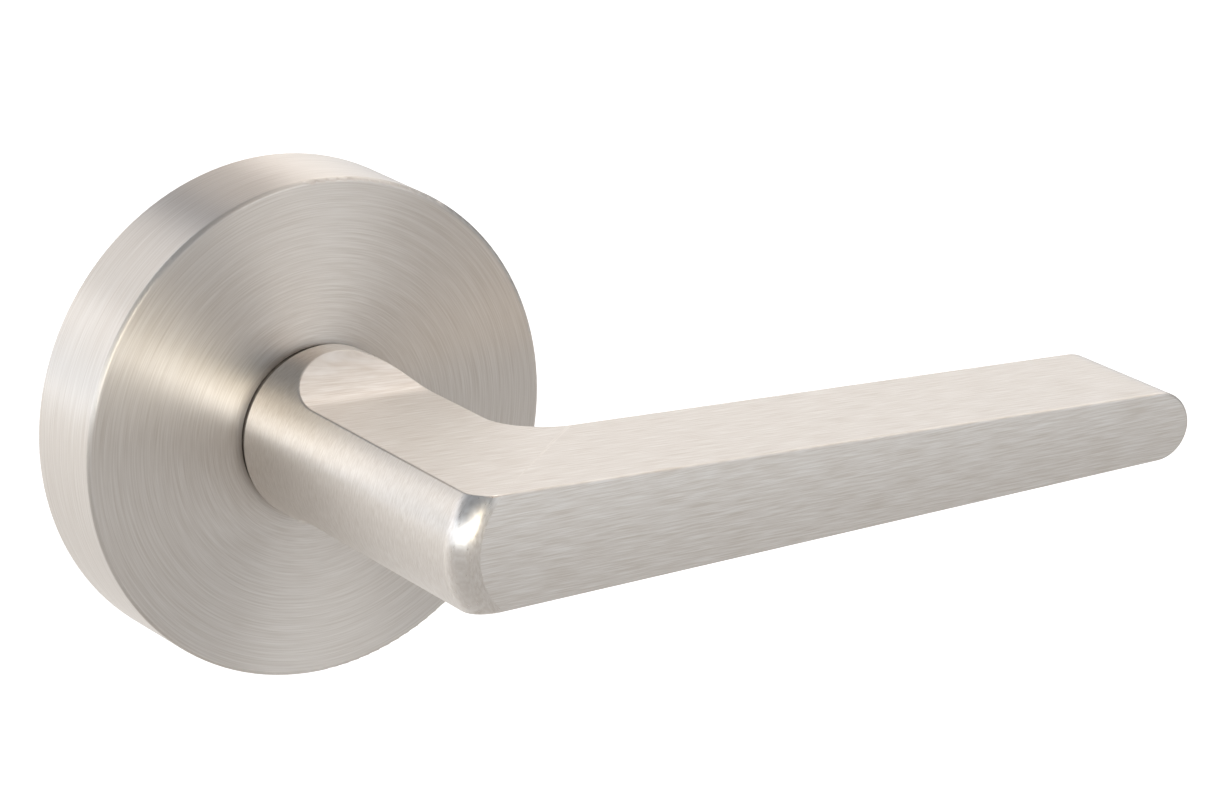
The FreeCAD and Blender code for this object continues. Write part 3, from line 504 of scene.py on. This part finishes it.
# %% Make a piece with a tree
SMOOTH_ANGLE = math.radians(35)     # edges sharper than this stay crisp


def made_with(tree, name, blank, sizes, node):
    """Run the tree on a blank mesh with these sizes, in metres, and hand over the result for a CAD node."""
    worker = bpy.data.objects.new(name + "_blank", blank)
    bpy.context.scene.collection.objects.link(worker)
    modifier = worker.modifiers.new("shape", "NODES")
    modifier.node_group = tree
    for item in tree.interface.items_tree:
        if item.in_out == "INPUT" and item.name in sizes:
            modifier[item.identifier] = sizes[item.name]
    bpy.context.view_layer.update()
    seen_by = bpy.context.evaluated_depsgraph_get()
    mesh = bpy.data.meshes.new_from_object(worker.evaluated_get(seen_by))
    worker.modifiers.remove(modifier)
    bpy.data.objects.remove(worker)
    mesh.name = name
    mesh.shade_smooth()
    mesh.set_sharp_from_angle(angle=SMOOTH_ANGLE)
    piece = bpy.data.objects.new(name, mesh)
    bpy.context.scene.collection.objects.link(piece)
    hand_over(piece, node)
    low, high = (Vector([f(v.co[i] for v in mesh.vertices) for i in range(3)]) for f in (min, max))
    print(name, len(mesh.polygons), "faces, mm", [round(v / MM, 2) for v in (*low, *high)])
    return piece


# %% [markdown]
# ## Wood screws, plate screws and posts
# Two countersunk wood screws hold the rose to the door: coarse thread, plain neck inside the rose, six-
# sided socket. Four small machine screws hold the back plate. The two posts are steel tubes with an M4
# thread inside, for bolts that come through the door from its other side, and their mouths are chamfered.

# %% Make them
SOCKET_DEPTH = 1.2
WOOD_SCREW_Z, POST_X = 26.4 * MM, 19.0 * MM
PLATE_SCREW_R, PLATE_SCREW_ANGLE = 26.6 * MM, math.radians(38)
wood_blank = turned_mesh("wood screw blank", [
    (-11.7 + SOCKET_DEPTH, 1.3, "hex"), (-11.7, 1.3, "hex"), (-11.7, 3.3), (-11.6, 3.4), (-10.05, 1.3),
    (0, 1.3), (0.3, 1.25), (8.8, 1.25), (12.35, 0.15)])
made_with(THREAD, "wood_screw_pair", wood_blank, {
    "Start": 0.4 * MM, "Length": 11.8 * MM, "Pitch": 1.6 * MM, "Radius": 1.25 * MM, "Depth": 0.5 * MM,
    "Tip Length": 3.6 * MM, "Ridge Turn": 0.0, "Count": 2, "Reach X": 0.0, "Reach Z": WOOD_SCREW_Z,
    "Finish": SCREW_STEEL}, "wood_screws")
plate_blank = turned_mesh("plate screw blank", [
    (-1.62, 1.0, "hex"), (-0.62, 1.0, "hex"), (-0.62, 2.6), (-0.7, 2.65), (-1.9, 1.2), (-6.4, 1.2),
    (-6.6, 0.9)])
made_with(THREAD, "plate_screw_set", plate_blank, {
    "Start": -6.45 * MM, "Length": 4.3 * MM, "Pitch": 0.5 * MM, "Radius": 1.2 * MM, "Depth": 0.25 * MM,
    "Tip Length": 0.0, "Ridge Turn": 0.0, "Count": 4,
    "Reach X": PLATE_SCREW_R * math.cos(PLATE_SCREW_ANGLE),
    "Reach Z": PLATE_SCREW_R * math.sin(PLATE_SCREW_ANGLE), "Finish": SCREW_STEEL}, "back_plate_screws")
post_blank = turned_mesh("post blank", [
    (16.0, 2.3), (16.0, 3.1), (15.6, 3.48), (-8.98, 3.48), (-8.98, 1.0), (-4.0, 1.0), (-4.0, 2.0),
    (15.7, 2.0)], closed=True)
made_with(THREAD, "threaded_post_pair", post_blank, {
    "Start": -3.6 * MM, "Length": 19.0 * MM, "Pitch": 0.7 * MM, "Radius": 2.02 * MM, "Depth": 0.38 * MM,
    "Tip Length": 0.0, "Ridge Turn": math.pi, "Count": 2, "Reach X": POST_X, "Reach Z": 0.0,
    "Finish": SCREW_STEEL}, "fixing_posts")

# %% [markdown]
# ## Bent wire: return spring and snap ring
# The return spring is a coil of hard wire with two straight legs, one each side of the lug that it pushes
# against. The snap ring that holds the cover is the same idea in one open turn. A wire is a path with a
# round section, so Geometry Nodes follow the path, round its two knees with a fillet, and sweep a circle
# along it.

# %% The node tree for wire
WIRE, size = new_tree("bent wire", {"Wire Radius": "Float", "Bend Radius": "Float", "Finish": "Material"})
line = add(WIRE, "GeometryNodeMeshToCurve", {"Mesh": size["Geometry"]})
bent = add(WIRE, "GeometryNodeFilletCurve", {"Curve": line.outputs[0], "Radius": size["Bend Radius"],
                                             "Limit Radius": True})
if "Count" in bent.inputs:
    bent.inputs["Count"].default_value = 5
section = add(WIRE, "GeometryNodeCurvePrimitiveCircle", {"Resolution": 14, "Radius": size["Wire Radius"]})
swept = add(WIRE, "GeometryNodeCurveToMesh", {"Curve": bent.outputs[0], "Profile Curve": section.outputs[0],
                                              "Fill Caps": True})
close_tree(WIRE, swept.outputs[0], size)


def path_mesh(name, points):
    """A mesh that is only a line through these points, in mm."""
    mesh = bpy.data.meshes.new(name)
    mesh.from_pydata([[v * MM for v in p] for p in points], [(i, i + 1) for i in range(len(points) - 1)], [])
    return mesh


# %% Make the spring and the snap ring
COIL_R, LEG_X, LEG_TOP, COIL_BACK, COIL_PITCH = 13.0, 4.0, 23.2, 6.25, 1.5
knee = math.degrees(math.acos(LEG_X / COIL_R))
first, sweep = 180 - knee, 360 * 2 - (180 - 2 * knee)
stations = 120
coil = []
for i in range(stations + 1):
    angle = math.radians(first + sweep * i / stations)
    coil.append((COIL_R * math.cos(angle), -COIL_BACK - COIL_PITCH * sweep / 360 * i / stations,
                 COIL_R * math.sin(angle)))
coil = [(coil[0][0], coil[0][1], LEG_TOP)] + coil + [(coil[-1][0], coil[-1][1], LEG_TOP)]
made_with(WIRE, "coil_spring", path_mesh("spring path", coil), {
    "Wire Radius": 0.7 * MM, "Bend Radius": 1.2 * MM, "Finish": SPRING_WIRE}, "return_spring")
RING_R, RING_GAP, ring_steps = 30.9, 30, 132
ring = []
for i in range(ring_steps + 1):
    angle = math.radians(-90 + RING_GAP / 2 + (360 - RING_GAP) * i / ring_steps)
    ring.append((RING_R * math.cos(angle), -6.0, RING_R * math.sin(angle)))
made_with(WIRE, "snap_ring", path_mesh("ring path", ring), {
    "Wire Radius": 0.6 * MM, "Bend Radius": 0.0, "Finish": SPRING_WIRE}, "cover_snap_ring")

# %% [markdown]
# ## Wave washer
# A thin ring of spring steel pressed into three waves takes up the play of the handle along its axis. Its
# height is a sine round the ring, which is a rule, so a small tree lifts a flat ring by it.

# %% Make the wave washer
WAVE, size = new_tree("waves round a ring", {"Waves": "Float", "Height": "Float", "Finish": "Material"})
spot = add(WAVE, "GeometryNodeInputPosition")
spot_parts = add(WAVE, "ShaderNodeSeparateXYZ", {0: spot.outputs[0]})
bearing = add(WAVE, "ShaderNodeMath", {0: spot_parts.outputs["Z"], 1: spot_parts.outputs["X"]},
              operation="ARCTAN2")
phase = add(WAVE, "ShaderNodeMath", {0: bearing.outputs[0], 1: size["Waves"]}, operation="MULTIPLY")
wave = add(WAVE, "ShaderNodeMath", {0: phase.outputs[0]}, operation="SINE")
lift = add(WAVE, "ShaderNodeMath", {0: wave.outputs[0], 1: size["Height"]}, operation="MULTIPLY")
shift = add(WAVE, "ShaderNodeCombineXYZ", {"Y": lift.outputs[0]})
waved = add(WAVE, "GeometryNodeSetPosition", {"Geometry": size["Geometry"], "Offset": shift.outputs[0]})
close_tree(WAVE, waved.outputs[0], size)
flat_ring = turned_mesh("flat ring", [
    (-3.2, 9.35), (-3.2, 11.05), (-3.24, 11.1), (-3.46, 11.1), (-3.5, 11.05), (-3.5, 9.35), (-3.46, 9.3),
    (-3.24, 9.3)], closed=True)
made_with(WAVE, "wave_spring", flat_ring, {"Waves": 3.0, "Height": 0.15 * MM, "Finish": SPRING_WIRE},
          "wave_washer")

# %% [markdown]
# ## The pieces that stay as they are
# The cover, the casting, the plates and the plastic rings already have their right shapes, so they keep
# their meshes and take the finish of their slot.

# %% Give each kept node its finish
finishes = {"satin_nickel": COVER, "zinc_casting": CASTING, "zinc_plated_steel": SCREW_STEEL,
            "spring_steel": SPRING_WIRE, "white_nylon": NATURAL_NYLON, "black_nylon": DARK_NYLON,
            "foam": SEAL_FOAM}
for name, node in frame["nodes"].items():
    for spot in node.material_slots:
        spot.material = finishes[slot_of[name]]
print("nodes with a finish:", len(frame["nodes"]))
